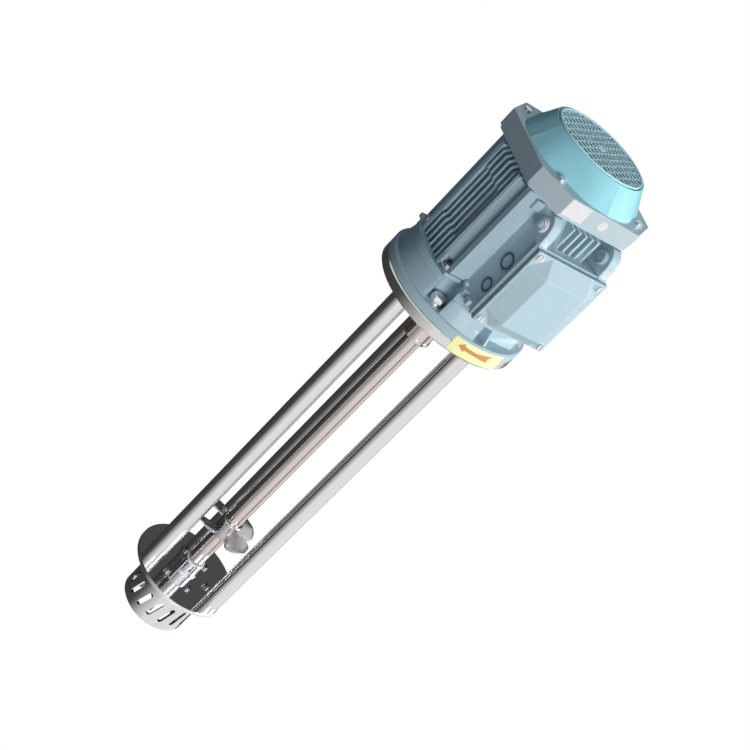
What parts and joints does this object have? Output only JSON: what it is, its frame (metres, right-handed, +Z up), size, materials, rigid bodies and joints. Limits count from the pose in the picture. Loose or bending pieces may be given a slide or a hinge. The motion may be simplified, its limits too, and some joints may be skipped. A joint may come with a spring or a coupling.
{
  "type": "high shear homogenizer mixer",
  "caption": "Batch high shear mixer: finned electric motor on a round plate, guide rods, long shaft with propeller, and a rotor turning in a slotted stator head.",
  "frame": {"origin": "centre of the mounting plate's underside, on the shaft's axis", "axes": "+Z up along the shaft towards the motor's fan, +X towards the terminal box"},
  "size_m": [0.226, 0.202, 0.8793],
  "materials": {
    "stainless": "mirror polished stainless steel",
    "motor_paint": "semi-gloss blue-grey paint",
    "lid_paint": "semi-gloss pale blue-grey paint",
    "cover_paint": "semi-gloss turquoise-grey paint",
    "zinc_steel": "bright zinc plated",
    "machined_steel": "turned",
    "bearing_steel": "ground and polished",
    "seal_rubber": "matt black",
    "bush_plastic": "matt off-white",
    "fan_plastic": "matt black",
    "brass": "bright",
    "laminations": "stacked laminations",
    "cast_cage": "as cast",
    "winding": "varnished copper wire",
    "sticker": "printed film"
  },
  "bodies": {
    "frame": {"air_grille": "cover_paint", "end_shield_screws": "zinc_steel", "fan_cover": "cover_paint", "fan_cover_screws": "zinc_steel", "flange_bolts": "zinc_steel", "flange_spring_washers": "zinc_steel", "flange_washers": "zinc_steel", "front_bearing_outer_ring": "bearing_steel", "front_end_shield": "motor_paint", "lid_screws": "zinc_steel", "lower_bushing": "bush_plastic", "lower_disc": "stainless", "motor_frame": "motor_paint", "motor_shaft_seal": "seal_rubber", "mounting_plate": "stainless", "preload_washer": "zinc_steel", "rear_bearing_outer_ring": "bearing_steel", "rear_end_shield": "motor_paint", "rear_shield_screws": "zinc_steel", "rod_bottom_screws": "stainless", "rod_top_screws": "stainless", "rotation_sticker": "sticker", "shaft_seal": "seal_rubber", "stator_core": "laminations", "stator_head": "stainless", "stator_screws": "stainless", "stator_winding": "winding", "support_rod_1": "stainless", "support_rod_2": "stainless", "support_rod_3": "stainless", "terminal_block": "fan_plastic", "terminal_box_gasket": "seal_rubber", "terminal_box_lid": "lid_paint", "terminal_nuts": "brass", "terminal_studs": "brass"},
    "shaft": {"motor_shaft": "machined_steel", "shaft_key": "machined_steel", "rotor_core": "laminations", "rotor_cage": "cast_cage", "cooling_fan": "fan_plastic", "fan_retaining_ring": "zinc_steel", "front_bearing_inner_ring": "bearing_steel", "rear_bearing_inner_ring": "bearing_steel", "mixer_shaft": "stainless", "socket_set_screws": "stainless", "propeller": "stainless", "propeller_set_screw": "stainless", "shear_rotor": "stainless", "rotor_drive_pin": "stainless", "rotor_nut": "stainless"},
    "front_cage": {"front_bearing_balls": "bearing_steel", "front_bearing_cage": "bearing_steel"},
    "rear_cage": {"rear_bearing_balls": "bearing_steel", "rear_bearing_cage": "bearing_steel"}
  },
  "joints": [
    {"name": "shaft_spin", "type": "hinge", "parent": "frame", "child": "shaft", "pos_m": [0, 0, 0], "axis": [0, 0, 1], "continuous": true},
    {"name": "front_cage_spin", "type": "hinge", "parent": "frame", "child": "front_cage", "pos_m": [0, 0, 0], "axis": [0, 0, 1], "continuous": true},
    {"name": "rear_cage_spin", "type": "hinge", "parent": "frame", "child": "rear_cage", "pos_m": [0, 0, 0], "axis": [0, 0, 1], "continuous": true}
  ],
  "couplings": [
    {"joint": "front_cage_spin", "follows": "shaft_spin", "ratio": 0.4117},
    {"joint": "rear_cage_spin", "follows": "shaft_spin", "ratio": 0.3985}
  ]
}
